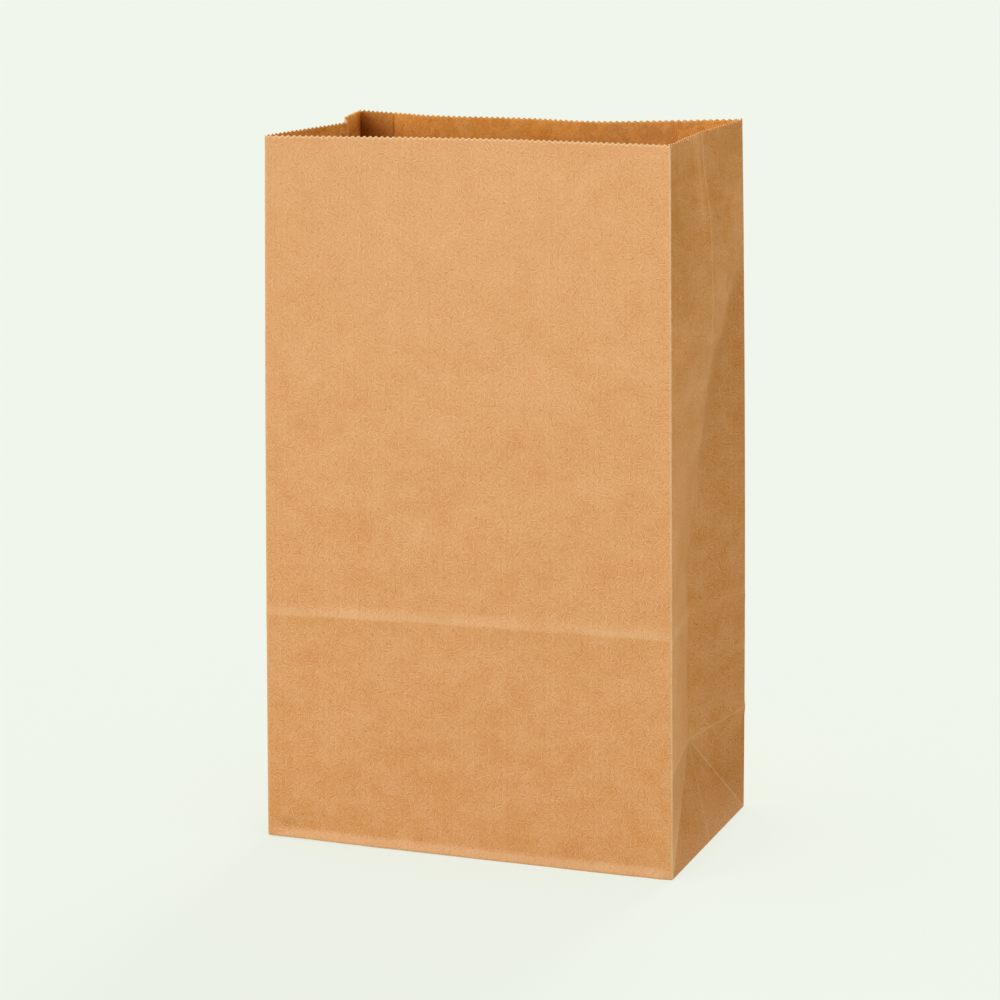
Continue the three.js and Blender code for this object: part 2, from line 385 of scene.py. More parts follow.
def wall_points(wall, at, z, depth):
    """Points on a face of the sheet that lies depth behind the wall's surface, round at the folds."""
    f = at / wall.length
    drop = np.clip(TOE_RADIUS - z, 0.0, TOE_RADIUS)
    behind = depth + TOE_RADIUS - np.sqrt(TOE_RADIUS**2 - drop**2)
    near = np.minimum(at, wall.length - at)
    turn = 0.25 * math.pi * peak(near, CORNER_RADIUS)
    reach = CORNER_RADIUS - behind
    along = np.where(near < CORNER_RADIUS, CORNER_RADIUS - reach * np.sin(turn), near)
    along = np.where(at <= wall.length / 2, along, wall.length - along)
    out = wall.out(f, z) - CORNER_RADIUS + reach * np.cos(turn)
    start = corner_at(wall.start, z)
    end = corner_at(wall.end, z)
    flat = start + (end - start) * (along / wall.length)[..., None] + wall.outward * out[..., None]
    height = z + toe_lift(wall, f) * (1.0 - share(z, 0.0, TOE_LIFT_TOP))
    return np.concatenate([flat, np.broadcast_to(height, out.shape)[..., None]], axis=-1)


# A column: its place along the wall, the depths of face 0, outside, and 1, and their places on the sheet
PLACE = 0
DEPTHS = 1
ACROSS = 3

# The gussets show this share of the flat sheet's width, so their fibres are coarser across
GUSSET_GRAIN = 0.5

# The lap's strip lies here on the flat sheet. Its edges step over a short way, clear of other columns.
STRIP_U = -DEPTH - WIDTH
LAP_STEP = 0.01
LAP_CLEAR = 0.1


def places_along(length, step):
    even = np.linspace(0.0, length, round(length / step) + 1)
    turns = CORNER_RADIUS * np.arange(1, CORNER_STEPS + 1) / CORNER_STEPS
    return np.unique(np.round(np.concatenate([even, turns, length - turns]), 6))


def plain_columns(wall, step):
    columns = []
    rate = 1.0 if wall.wide else GUSSET_GRAIN
    for at in places_along(wall.length, step)[:-1]:
        u = wall.first_u + rate * at
        columns.append((at, 0.0, PAPER, u, u))
    return columns


def panel_column(at):
    return (at, 0.0, PAPER, BACK.first_u + at, BACK.first_u + at)


def lap_column(at):
    return (at, 0.0, 2 * PAPER, BACK.first_u + at, STRIP_U + at)


def strip_column(at):
    return (at, PAPER, 2 * PAPER, STRIP_U + at, STRIP_U + at)


def back_columns(step):
    """The back panel is glued over a strip of the left gusset, and the sheet steps at the lap's edges."""
    inner_edge = WIDTH - LAP_WIDTH
    outer_edge = WIDTH - LAP_SETBACK
    columns = [panel_column(inner_edge), lap_column(inner_edge + LAP_STEP)]
    columns += [lap_column(outer_edge), strip_column(outer_edge + LAP_STEP)]
    for at in places_along(WIDTH, step)[:-1]:
        if at < inner_edge - LAP_CLEAR:
            columns.append(panel_column(at))
        elif inner_edge + LAP_CLEAR < at < outer_edge - LAP_CLEAR:
            columns.append(lap_column(at))
        elif at > outer_edge + LAP_CLEAR:
            columns.append(strip_column(at))
    return sorted(columns)


def columns_of(wall, step):
    return np.array(back_columns(step) if wall is BACK else plain_columns(wall, step))


def all_columns(step):
    return [columns_of(wall, step) for wall in WALLS]


# The rim dips at the front left corner, drops with the back's bow, and crowns on the left gusset
RIM_DIP = 0.4
FRONT_DIP_END = 0.5
LEFT_DIP_START = 0.35
LEFT_CROWN = 0.3
BOW_DROP = 0.00267


def rim_height(wall, at):
    f = at / wall.length
    height = HEIGHT + RIM_RISE * blend(wall.start[1], wall.end[1], f) / 2.0
    if wall is FRONT:
        return height - RIM_DIP * (1.0 - share(f, 0.0, FRONT_DIP_END))
    if wall is BACK:
        return height - BOW_DROP * back_bow(f) ** 2
    if wall is LEFT:
        return height + LEFT_CROWN * tent(f) - RIM_DIP * share(f, LEFT_DIP_START, 1.0)
    return height


# Rows of points, finer at the toe, over the base's folds and at the pressed crease
PRESS_LOW = 78.0
PRESS_HIGH = 87.0
FOLD_ROWS = 42
TOE_ROWS = [0.0, 0.07, 0.2, 0.5]
FOOT_ROWS = TOE_ROWS + [FOLD_HEIGHT * k / FOLD_ROWS for k in range(1, FOLD_ROWS)]
INNER_FLOOR = 4 * PAPER
INNER_FIRST_ROW = 6
INNER_ROW_STEP = 2
INNER_FOOT_ROWS = [INNER_FLOOR] + FOOT_ROWS[INNER_FIRST_ROW::INNER_ROW_STEP]


def rows_to_press(foot, above_fold, count):
    """Heights from the foot to the top of the pressed crease, in even steps from the last of above_fold."""
    rows = foot + [FOLD_HEIGHT + above for above in above_fold[:-1]]
    for low, high in ((FOLD_HEIGHT + above_fold[-1], PRESS_LOW), (PRESS_LOW, PRESS_HIGH)):
        rows = rows + list(np.linspace(low, high, count, endpoint=False))
    return rows


OUTER_ABOVE_FOLD = (0.0, 1.0, 2.2, 4.0)
OUTER_STEPS = 13
OUTER_UPPER = 56
OUTER_ROWS = rows_to_press(FOOT_ROWS, OUTER_ABOVE_FOLD, OUTER_STEPS)
INNER_ABOVE_FOLD = (0.0, 2.0, 5.0)
INNER_STEPS = 7
INNER_UPPER = 36
INNER_ROWS = rows_to_press(INNER_FOOT_ROWS, INNER_ABOVE_FOLD, INNER_STEPS)


def row_heights(wall, at, lower, upper):
    """Heights of all rows at each place of a wall, up to the strip below the rim."""
    foot = np.repeat(np.array(lower)[:, None], len(at), axis=1)
    t = np.linspace(0.0, 1.0, upper + 1)[:, None]
    top = rim_height(wall, at) - RIM_STRIP
    return np.concatenate([foot, blend(PRESS_HIGH, top[None, :], t)], axis=0)


class Mesh:
    """Points, faces and what the material needs to know at each point, gathered for one Blender mesh.

    sheet is the place on the flat sheet. lines is the distance to the base's fold, the wear of the creases
    and the distance to the cut. side is the inside's painted light, the glue with painted shade towards
    the inner corner, and the painted light and shade.
    """

    def __init__(self):
        self.points = []
        self.sheet = []
        self.lines = []
        self.side = []
        self.faces = []
        self.sharp = []
        self.count = 0

    def add_points(self, points, sheet, lines, side):
        self.points.append(points.reshape(-1, 3))
        self.sheet.append(sheet.reshape(-1, 3))
        self.lines.append(lines.reshape(-1, 3))
        self.side.append(side.reshape(-1, 3))
        numbers = np.arange(self.count, self.count + points.size // 3)
        self.count += len(numbers)
        return numbers.reshape(points.shape[:-1])

    def add_face(self, corners, sharp=False):
        self.faces.append([int(corner) for corner in corners])
        self.sharp.append(sharp)


# Worn folds: the reach of the wear, and its strength on the gussets' creases and on their base folds
EDGE_WEAR_REACH = 1.5
CREASE_WEAR_REACH = 1.4
CREASE_WEAR_FOOT = 0.75
CREASE_WEAR_LOW = 0.15
CREASE_WEAR_HIGH = 0.95
CREASE_WEAR_RISE = (140.0, 190.0)
FOLD_WEAR_REACH = 1.1
FOLD_WEAR = 0.82


def crease_wear(wall, at, z):
    """Wear on the folds that the mesh follows: upright edges, gusset creases and diagonal base folds."""
    near = np.minimum(at, wall.length - at)
    worn = np.broadcast_to(peak(near, EDGE_WEAR_REACH), z.shape)
    if wall.wide:
        return worn
    half = wall.length / 2
    upper = blend(CREASE_WEAR_LOW, CREASE_WEAR_HIGH, smooth(z, *CREASE_WEAR_RISE))
    strength = np.where(z < FOLD_HEIGHT, CREASE_WEAR_FOOT, upper)
    middle = peak(at - half, CREASE_WEAR_REACH) * strength
    folds = FOLD_WEAR * peak(near / half * FOLD_HEIGHT - z, FOLD_WEAR_REACH)
    return np.maximum(worn, np.maximum(middle, folds))


# Painted shading goes from 1, painted shade, to -1, painted light. Pairs are a middle and spread, or a
# start and end.
# The pale band above the pressed crease is partly wear and partly painted highlight. The toe's band is
# painted highlight, its groove painted shade, and the back below its rim painted light.
PRESS_PALE = 0.18
PRESS_PALE_LOSS = 0.4
PRESS_PALE_LOSS_PLACE = (24.0, 22.0)
PRESS_PALE_FROM = -0.3
PRESS_PALE_FADE = (0.2, 5.0)
TOE_HIGHLIGHT = 0.16
TOE_HIGHLIGHT_START = 11.0
TOE_HIGHLIGHT_FADE = (-0.7, 0.3)
TOE_GROOVE_SHADE = 0.4
TOE_GROOVE_SHADE_PLACE = (-67.0, 4.0)
TOE_GROOVE_SHADE_HEIGHT = (6.0, 2.0)
BACK_RIM_LIGHT = 0.2
BACK_RIM_LIGHT_PLACE = (-45.0, 25.0)
BACK_RIM_LIGHT_RISE = (190.0, 235.0)


def panel_painted_shading(wall, f, z):
    """Painted highlight above the pressed crease, partly wear, and on the flared toe, painted shade in the
    toe's groove, and painted light below the back's rim.
    """
    along = (f - 0.5) * WIDTH
    above = z - wall.press(f)
    strength = PRESS_PALE * (1.0 - PRESS_PALE_LOSS * bell(along, *PRESS_PALE_LOSS_PLACE))
    pressed = np.where(above > PRESS_PALE_FROM, strength * (1.0 - smooth(above, *PRESS_PALE_FADE)), 0.0)
    toe_top = TOE_HEIGHT * share(f * WIDTH, 0.0, TOE_HIGHLIGHT_START)
    toe = TOE_HIGHLIGHT * (1.0 - smooth(z - toe_top, *TOE_HIGHLIGHT_FADE))
    painted_shading = TOE_GROOVE_SHADE * bell(along, *TOE_GROOVE_SHADE_PLACE) * bell(z, *TOE_GROOVE_SHADE_HEIGHT) - pressed - toe
    if wall is BACK:
        painted_shading = painted_shading - BACK_RIM_LIGHT * bell(along, *BACK_RIM_LIGHT_PLACE) * smooth(z, *BACK_RIM_LIGHT_RISE)
    return painted_shading


# Painted light and shade of the gussets: shade on the triangles of the foot and along the back edge, a band
# at the pressed crease that is partly wear and partly painted highlight, and painted light on the front
# half
FOOT_PAINTED_SHADE = 0.9
FRONT_FOOT_SHADE = 0.55
BACK_FOOT_SHADE_HIGH = 0.15
BACK_FOOT_SHADE_LOW = 1.0
BACK_FOOT_SHADE_DROP = 20.0
FOOT_SHADE_CHANGE = (0.45, 0.55)
EDGE_SHADE = 0.5
EDGE_SHADE_PLACE = (DEPTH - 1.6, 0.8)
SIDE_PRESS_PALE = 0.12
SIDE_PRESS_PALE_PLACE = (0.8, 2.6)
FRONT_HALF_LIGHT = 0.1
FRONT_HALF_LIGHT_FADE = (70.0, 125.0)
ABOVE_FOLD = (FOLD_HEIGHT, FOLD_HEIGHT + 4.0)


def gusset_painted_shading(wall, f, z):
    """Painted shade on the foot, most of all towards the back, and painted light in bands above it."""
    to_back = f if wall.start[1] < 0 else 1.0 - f
    below_fold = wall.fold(f) - z
    behind = blend(BACK_FOOT_SHADE_HIGH, BACK_FOOT_SHADE_LOW, share(below_fold, 0.0, BACK_FOOT_SHADE_DROP))
    beside = blend(FRONT_FOOT_SHADE, behind, smooth(to_back, *FOOT_SHADE_CHANGE))
    foot = np.where(z / FOLD_HEIGHT > tent(f), beside, FOOT_PAINTED_SHADE)
    painted_foot_shade = foot * (below_fold > 0.0)
    painted_foot_shade = painted_foot_shade + EDGE_SHADE * bell(to_back * DEPTH, *EDGE_SHADE_PLACE) * (z < FOLD_HEIGHT)
    pale = SIDE_PRESS_PALE * bell(z - wall.press(f), *SIDE_PRESS_PALE_PLACE)
    front = smooth(z, *ABOVE_FOLD) * (1.0 - smooth(z, *FRONT_HALF_LIGHT_FADE)) * (to_back < 0.5)
    painted_shading = painted_foot_shade - pale - FRONT_HALF_LIGHT * front
    return painted_shading + gusset_painted_sweep(f, z) if wall is RIGHT else painted_shading


# Painted light and shade of the right gusset: the sweep rises with y along a line, and starts level at the
# front
SWEEP_HEIGHT = 174.5
SWEEP_SLOPE = 0.93
SWEEP_LEVEL = -12.0
SWEEP_LIGHT = 0.09
SWEEP_LOWER_FADE = (15.0, 8.0)
SWEEP_UPPER_FADE = (34.0, 6.0)
SWEEP_FRONT_FADE = (-36.0, -12.0)
STREAK_PALE = 0.08
STREAK_PLACE = (-10.0, 5.0)
STREAK_RISE = (205.0, 235.0)
ABOVE_DARK = 0.3
ABOVE_DARK_RISE = (16.0, 40.0)
ABOVE_DARK_GAP = (-8.0, 8.0)
CORNER_DARK = 0.3
CORNER_DARK_PLACE = (-42.0, 16.0)
CORNER_DARK_HEIGHT = (226.0, 20.0)
BEHIND_DARK = 0.25
BEHIND_DARK_MORE = 0.6
BEHIND_DARK_RISE = (110.0, 176.0)
BEHIND_DARK_FADE = (6.0, 20.0)
BEHIND_START = -4.0
BEHIND_END_LOW = 20.0
BEHIND_END_HIGH = 7.0
BEHIND_END_RISE = (110.0, 150.0)


def gusset_painted_sweep(f, z):
    """Painted light in a soft sweep across the upper right gusset, with painted shade above it, behind its
    crease and at its top front corner, and a pale streak near the top.
    """
    y = (f - 0.5) * DEPTH
    line = SWEEP_HEIGHT + SWEEP_SLOPE * np.maximum(y, SWEEP_LEVEL)
    pale = SWEEP_LIGHT * smooth(line - z, *SWEEP_LOWER_FADE) * smooth(z - line, *SWEEP_UPPER_FADE)
    pale = pale * smooth(y, *SWEEP_FRONT_FADE)
    streak = STREAK_PALE * bell(y, *STREAK_PLACE) * smooth(z, *STREAK_RISE)
    above = ABOVE_DARK * smooth(z - line, *ABOVE_DARK_RISE) * (1.0 - bell(y, *ABOVE_DARK_GAP))
    corner = CORNER_DARK * bell(y, *CORNER_DARK_PLACE) * bell(z, *CORNER_DARK_HEIGHT)
    end = blend(BEHIND_END_LOW, BEHIND_END_HIGH, smooth(z, *BEHIND_END_RISE))
    behind = smooth(y, BEHIND_START, end) * smooth(line - z, *BEHIND_DARK_FADE) * smooth(z, *ABOVE_FOLD)
    behind = behind * (BEHIND_DARK + BEHIND_DARK_MORE * smooth(z, *BEHIND_DARK_RISE))
    return above + corner + behind - pale - streak


def paper_painted_shading(wall, f, z):
    f = np.broadcast_to(f, z.shape)
    return panel_painted_shading(wall, f, z) if wall.wide else gusset_painted_shading(wall, f, z)


# How far the inside takes its painted light, which makes it brighter and warmer, and where that changes
# along the back panel and the left gusset
INSIDE_FULL = 1.0
INSIDE_PART = 0.75
INSIDE_BACK_LEFT = 0.5
INSIDE_BACK_CHANGE = (0.47, 0.13)
INSIDE_LEFT_CHANGE = (0.3, 0.5)


def inside_painted_light(wall, f):
    """Full to the right of the back panel and, on the left gusset, beside the lap."""
    if wall is BACK:
        return blend(INSIDE_BACK_LEFT, INSIDE_FULL, smooth(f, *INSIDE_BACK_CHANGE))
    if wall is LEFT:
        return blend(INSIDE_FULL, INSIDE_PART, smooth(f, *INSIDE_LEFT_CHANGE))
    return INSIDE_PART + 0.0 * f


# The glue darkens the lap's strip, and painted shade darkens it more towards the inner corner and less near
# the rim
GLUE_BEFORE_LAP = 9.0
GLUE_START = WIDTH - LAP_WIDTH - GLUE_BEFORE_LAP
GLUE_CORNER_CLEAR = 1.0
GLUE_RIM_LOSS = 0.4
GLUE_RIM = (240.0, 250.0)


def glue_and_corner_shade(columns, z):
    on_strip = columns[:, ACROSS + 1] < -DEPTH - GLUE_CORNER_CLEAR
    glue_and_shade = np.where(on_strip, share(columns[:, PLACE], GLUE_START, WIDTH), 0.0)
    return glue_and_shade * (1.0 - GLUE_RIM_LOSS * smooth(z, *GLUE_RIM))


def cut_distance(wall, at, z):
    return np.clip(rim_height(wall, at) - z, 0.0, FAR)


def sheet_rows(mesh, wall, columns, z, face, points, cut_gap):
    """Adds the points of one face of a wall, and gives rows of point numbers."""
    at = columns[:, PLACE]
    f = at / wall.length
    u = np.broadcast_to(columns[:, ACROSS + face], z.shape)
    sheet = np.stack([u, z, 0.0 * z], axis=-1)
    fold_gap = np.clip(z - wall.fold(f), -FAR, FAR)
    lines = np.stack([fold_gap, crease_wear(wall, at, z), cut_gap], axis=-1)
    # The inside's painted light, the glue with its painted corner shade, and the painted light and shade
    tint = np.broadcast_to(face * inside_painted_light(wall, f), z.shape)
    side = np.stack([tint, face * glue_and_corner_shade(columns, z), paper_painted_shading(wall, f, z)], axis=-1)
    return mesh.add_points(points, sheet, lines, side)


def skin_rows(mesh, columns, face, lower, upper, extra):
    """Plain part of a face of the sheet, all round the bag, set back by an extra depth."""
    rows = []
    for wall, wall_columns in zip(WALLS, columns):
        at = wall_columns[:, PLACE]
        z = row_heights(wall, at, lower, upper)
        points = wall_points(wall, at, z, wall_columns[:, DEPTHS + face] + extra)
        rows.append(sheet_rows(mesh, wall, wall_columns, z, face, points, cut_distance(wall, at, z)))
    return rows


# A column's key is its wall's number times KEY_STEP plus its place. Only a lap's step is NARROW.
KEY_STEP = 1000.0
NARROW = 0.05


def column_keys(columns):
    keys = []
    for number, wall_columns in enumerate(columns):
        keys.extend(number * KEY_STEP + wall_columns[:, PLACE])
    return keys


def rising_columns(rows):
    """Whether each column's quads split along the rising diagonal, as all do but a gusset's second half."""
    rising = []
    for wall, row in zip(WALLS, rows):
        count = row.shape[1]
        rising.extend(wall.wide or number < count / 2 for number in range(count))
    return rising


def add_quads(mesh, rows, columns, facing_out):
    """Split quads between rows, flat on the steps of the lap."""
    numbers = np.concatenate(rows, axis=1)
    rising = rising_columns(rows)
    total = numbers.shape[1]
    keys = column_keys(columns)
    narrow = [0.0 < keys[(j + 1) % total] - keys[j] < NARROW for j in range(total)]
    for i in range(numbers.shape[0] - 1):
        for j in range(total):
            k = (j + 1) % total
            a, b, c, d = numbers[i, j], numbers[i, k], numbers[i + 1, k], numbers[i + 1, j]
            halves = ((a, b, c), (a, c, d)) if rising[j] else ((a, b, d), (b, c, d))
            for half in halves:
                mesh.add_face(half if facing_out else half[::-1], sharp=narrow[j])


def add_strip(mesh, lower, lower_keys, upper, upper_keys, facing_out):
    """Triangles between two closed rows with their columns at different places."""
    lower = list(lower) + [lower[0]]
    upper = list(upper) + [upper[0]]
    end = len(WALLS) * KEY_STEP
    lower_keys = list(lower_keys) + [end]
    upper_keys = list(upper_keys) + [end]
    last_lower = len(lower) - 1
    last_upper = len(upper) - 1
    i = j = 0
    while i < last_lower or j < last_upper:
        if i == last_lower or (j < last_upper and upper_keys[j + 1] <= lower_keys[i + 1]):
            corners = (lower[i], upper[j + 1], upper[j])
            j += 1
        else:
            corners = (lower[i], lower[i + 1], upper[j])
            i += 1
        mesh.add_face(corners if facing_out else corners[::-1])


def tooth_wave(phase):
    return 0.5 - 0.5 * np.cos(2.0 * math.pi * phase)


def tooth_drop(wall, at):
    """Depth below the tips: rounded teeth, with a tip on each corner."""
    pitch, depth = (OPEN_PITCH, OPEN_TOOTH) if wall is RIGHT else (TOOTH_PITCH, PANEL_TOOTH)
    teeth = round(wall.length / pitch)
    return depth * tooth_wave(at / wall.length * teeth)


# On the wide panels the pale of the cut is weaker and reaches further down
CUT_SET_BACK = 0.33
CUT_SPREAD = 0.25


def rim_cut_gap(wall, at, z, face):
    """Distance to the cut as the material takes it. The inside shows no pale cut."""
    if face == 1:
        return np.full(z.shape, FAR)
    if wall.wide:
        down = np.stack([TOOTH_STRIP - tooth_drop(wall, at), 0.0 * at])
        return down * CUT_SPREAD + CUT_SET_BACK
    return cut_distance(wall, at, z)


def rim_rows(mesh, columns, face):
    """Two rows of finer columns: a plain one, and the toothed cut, curled in on the right gusset."""
    plain, cut = [], []
    for wall, wall_columns in zip(WALLS, columns):
        at = wall_columns[:, PLACE]
        drop = tooth_drop(wall, at)
        rim = rim_height(wall, at)
        z = np.stack([rim - TOOTH_STRIP, rim - drop])
        points = wall_points(wall, at, z, wall_columns[:, DEPTHS + face])
        if wall is RIGHT:
            curl = OPEN_CURL * (1.0 - drop / OPEN_TOOTH)
            points[1, :, :2] -= curl[:, None] * wall.outward
        rows = sheet_rows(mesh, wall, wall_columns, z, face, points, rim_cut_gap(wall, at, z, face))
        plain.extend(rows[0])
        cut.extend(rows[1])
    return plain, cut


def add_walls(mesh):
    """The two faces of the sheet, joined along the toothed rim."""
    half_tooth = TOOTH_PITCH / 2
    fine_columns = all_columns(half_tooth / 2)
    fine_keys = column_keys(fine_columns)
    cuts = []
    bottoms = []
    sides = (
        (0, half_tooth, OUTER_ROWS, OUTER_UPPER, 0.0),
        (1, TOOTH_PITCH, INNER_ROWS, INNER_UPPER, SKIN_GAP - PAPER),
    )
    for face, step, lower, upper, extra in sides:
        facing_out = face == 0
        columns = all_columns(step)
        rows = skin_rows(mesh, columns, face, lower, upper, extra)
        add_quads(mesh, rows, columns, facing_out)
        top = np.concatenate([row[-1] for row in rows])
        bottoms.append(np.concatenate([row[0] for row in rows]))
        plain, cut = rim_rows(mesh, fine_columns, face)
        add_strip(mesh, top, column_keys(columns), plain, fine_keys, facing_out)
        add_strip(mesh, plain, fine_keys, cut, fine_keys, facing_out)
        cuts.append(cut)
    outer, inner = cuts
    for j in range(len(outer)):
        k = (j + 1) % len(outer)
        mesh.add_face((outer[j], outer[k], inner[k], inner[j]), sharp=True)
    return bottoms


# The base shows a part of the sheet of its own, and its underside is recessed and a little smaller
BASE_U = 700.0
UNDERSIDE = 2 * PAPER
UNDERSIDE_SCALE = (0.996, 0.994)


def base_point(mesh, x, y, z):
    # The inside floor takes the inside's full painted light
    inner = 0.0 if z < INNER_FLOOR else 1.0
    point = np.array([[x, y, z]])
    sheet = np.array([[BASE_U + x, y, 0.0]])
    lines = np.array([[FAR, 0.0, FAR]])
    side = np.array([[inner, 0.0, 0.0]])
    return mesh.add_points(point, sheet, lines, side)[0]


def add_base(mesh, outer_bottom, inner_bottom):
    """Closes the foot of both faces: a recessed underside, and the floor inside the bag."""
    points = np.concatenate(mesh.points)
    scale_x, scale_y = UNDERSIDE_SCALE
    loop = []
    for number in outer_bottom:
        x, y, _ = points[number]
        loop.append(base_point(mesh, x * scale_x, y * scale_y, UNDERSIDE))
    for j in range(len(loop)):
        k = (j + 1) % len(loop)
        mesh.add_face((outer_bottom[k], outer_bottom[j], loop[j], loop[k]))
    mesh.add_face(loop[::-1], sharp=True)
    mesh.add_face([base_point(mesh, *points[number]) for number in inner_bottom], sharp=True)


def toothed(start, end):
    """Toothed cut from one point to another, with its valleys on the left of that direction."""
    start, end = np.array(start), np.array(end)
    along = end - start
    length = np.hypot(*along)
    left = np.array([-along[1], along[0]]) / length * PANEL_TOOTH
    points_per_tooth = 4
    count = points_per_tooth * round(length / TOOTH_PITCH)
    points = []
    for i in range(count + 1):
        points.append(start + along * i / count + left * tooth_wave(i / points_per_tooth))
    return points


def add_plate(mesh, outline, bottom):
    """Flap of the base: one thickness of paper."""
    lower = [base_point(mesh, x, y, bottom) for x, y in outline]
    upper = [base_point(mesh, x, y, bottom + PAPER) for x, y in outline]
    mesh.add_face(upper, sharp=True)
    mesh.add_face(lower[::-1], sharp=True)
    for j in range(len(outline)):
        k = (j + 1) % len(outline)
        mesh.add_face((lower[j], lower[k], upper[k], upper[j]), sharp=True)


def add_flaps(mesh):
    """Front and back flaps lie under the base, the back one lowest. The side flaps lie inside the bag."""
    half_x = WIDTH / 2 - FLAP_INSET
    half_y = DEPTH / 2 - FLAP_INSET
    end_cut = half_x - FLAP_LENGTH
    for side, bottom in ((-1, PAPER), (1, 0.0)):
        cut_y = side * (half_y - FLAP_LENGTH)
        outline = [(-side * half_x, side * half_y)]
        outline += toothed((-side * end_cut, cut_y), (side * end_cut, cut_y))
        outline += [(side * half_x, side * half_y)]
        add_plate(mesh, outline, bottom)
    for side in (-1, 1):
        cut_x = side * end_cut
        outline = [(side * half_x, side * half_y)]
        outline += toothed((cut_x, side * half_y), (cut_x, -side * half_y))
        outline += [(side * half_x, -side * half_y)]
        add_plate(mesh, outline, INNER_FLOOR)


def blender_mesh(mesh, name):
    points = np.concatenate(mesh.points) * MM
    data = bpy.data.meshes.new(name)
    data.from_pydata(points.tolist(), [], mesh.faces)
    for label, parts in (("sheet", mesh.sheet), ("lines", mesh.lines), ("side", mesh.side)):
        layer = data.attributes.new(label, "FLOAT_VECTOR", "POINT")
        layer.data.foreach_set("vector", np.concatenate(parts).astype(np.float32).ravel())
    data.polygons.foreach_set("use_smooth", np.logical_not(np.array(mesh.sharp)))
    data.update()
    return data


def add_object(name, data):
    made = bpy.data.objects.new(name, data)
    bpy.context.collection.objects.link(made)
    return made


def make_bag():
    mesh = Mesh()
    outer_bottom, inner_bottom = add_walls(mesh)
    add_base(mesh, outer_bottom, inner_bottom)
    add_flaps(mesh)
    return add_object("kraft_bag", blender_mesh(mesh, "kraft_bag"))


class Nodes:
    """Short ways to add and join the nodes of one material or world."""

    def __init__(self, tree):
        self.tree = tree
        self.tree.nodes.clear()

    def add(self, kind, inputs=None, **settings):
        made = self.tree.nodes.new(kind)
        for name, value in settings.items():
            setattr(made, name, value)
        for name, value in (inputs or {}).items():
            self.set(made.inputs[name], value)
        return made

    def set(self, socket, value):
        if isinstance(value, bpy.types.NodeSocket):
            self.tree.links.new(value, socket)
        else:
            socket.default_value = value

    def attribute(self, name):
        return self.add("ShaderNodeAttribute", attribute_name=name).outputs["Vector"]

    def split(self, vector):
        return self.add("ShaderNodeSeparateXYZ", {"Vector": vector}).outputs

    def math(self, operation, a, b=0.0, c=0.0, clamp=False):
        made = self.add("ShaderNodeMath", {0: a, 1: b, 2: c}, operation=operation, use_clamp=clamp)
        return made.outputs[0]

    def vector_math(self, operation, a, b):
        return self.add("ShaderNodeVectorMath", {0: a, 1: b}, operation=operation).outputs["Vector"]

    def noise(self, vector, scale, detail, roughness):
        inputs = {"Vector": vector, "Scale": scale, "Detail": detail, "Roughness": roughness}
        return self.add("ShaderNodeTexNoise", inputs, noise_dimensions="2D").outputs["Fac"]

    def cells(self, vector, scale):
        inputs = {"Vector": vector, "Scale": scale}
        return self.add("ShaderNodeTexVoronoi", inputs, voronoi_dimensions="2D").outputs

    def moved(self, vector, offset, angle=0.0):
        inputs = {"Vector": vector, "Location": (*offset, 0.0), "Rotation": (0.0, 0.0, angle)}
        return self.add("ShaderNodeMapping", inputs).outputs["Vector"]

    def remap(self, value, start, end, low=0.0, high=1.0):
        inputs = {"Value": value, "From Min": start, "From Max": end, "To Min": low, "To Max": high}
        made = self.add("ShaderNodeMapRange", inputs, interpolation_type="SMOOTHSTEP")
        return made.outputs["Result"]

    def mix(self, factor, a, b):
        made = self.add("ShaderNodeMix", data_type="RGBA")
        for name, value in (("Factor_Float", factor), ("A_Color", a), ("B_Color", b)):
            self.set(next(socket for socket in made.inputs if socket.identifier == name), value)
        return next(socket for socket in made.outputs if socket.identifier == "Result_Color")

    def tinted(self, factor, colour, tint):
        return self.mix(factor, colour, self.vector_math("MULTIPLY", colour, tint))

    def ramp(self, value, stops):
        made = self.add("ShaderNodeValToRGB", {"Fac": value})
        elements = made.color_ramp.elements
        while len(elements) < len(stops):
            elements.new(0.5)
        for element, (position, colour) in zip(elements, stops):
            element.position = position
            element.color = opaque(colour)
        return made.outputs["Color"]

    def show(self, shader, output="ShaderNodeOutputMaterial"):
        self.add(output, {"Surface": shader.outputs[0]})


def opaque(colour):
    return (*colour, 1.0)


def grey(value):
    return (value, value, value)


def new_material(name):
    material = bpy.data.materials.new(name)
    material.use_nodes = True
    return material, Nodes(material.node_tree)


# Kraft paper: its browns from dark to light, bare fibre that also serves for painted light, the cut, and
# factors on the browns for the inside's painted light, the glue with its painted shade, painted shade and
# stains
KRAFT_STOPS = [(0.0, (0.570, 0.182, 0.000)), (0.5, (0.658, 0.289, 0.070)), (1.0, (0.748, 0.396, 0.165))]
WORN_AND_LIT = (0.82, 0.56, 0.29)
CUT = (1.0, 0.78, 0.42)
INSIDE_PAINTED_LIGHT = (1.52, 1.60, 1.22)
GLUE_AND_SHADE_TINT = (0.31, 0.185, 0.0)
PAINTED_SHADE_TINT = (0.79, 0.78, 0.77)
STAIN_TINT = (0.81, 0.74, 0.62)

# A fibre is a short curved stroke, dark along one side and light along the other
STROKE_STOPS = [
    (0.0, grey(0.5)), (0.18, grey(0.5)), (0.37, grey(0.0)), (0.5, grey(0.5)),
    (0.63, grey(1.0)), (0.82, grey(0.5)), (1.0, grey(0.5)),
]
STROKE_END = (0.7, 1.4)
STROKE_FAINTEST = 0.2
FIBRE_CURVE = 0.5

# Each layer of fibres: its offset on the sheet, and its cells per millimetre
FIBRE_LAYERS = ((0.0, 0.33), (41.0, 0.38), (87.0, 0.44), (133.0, 0.51))


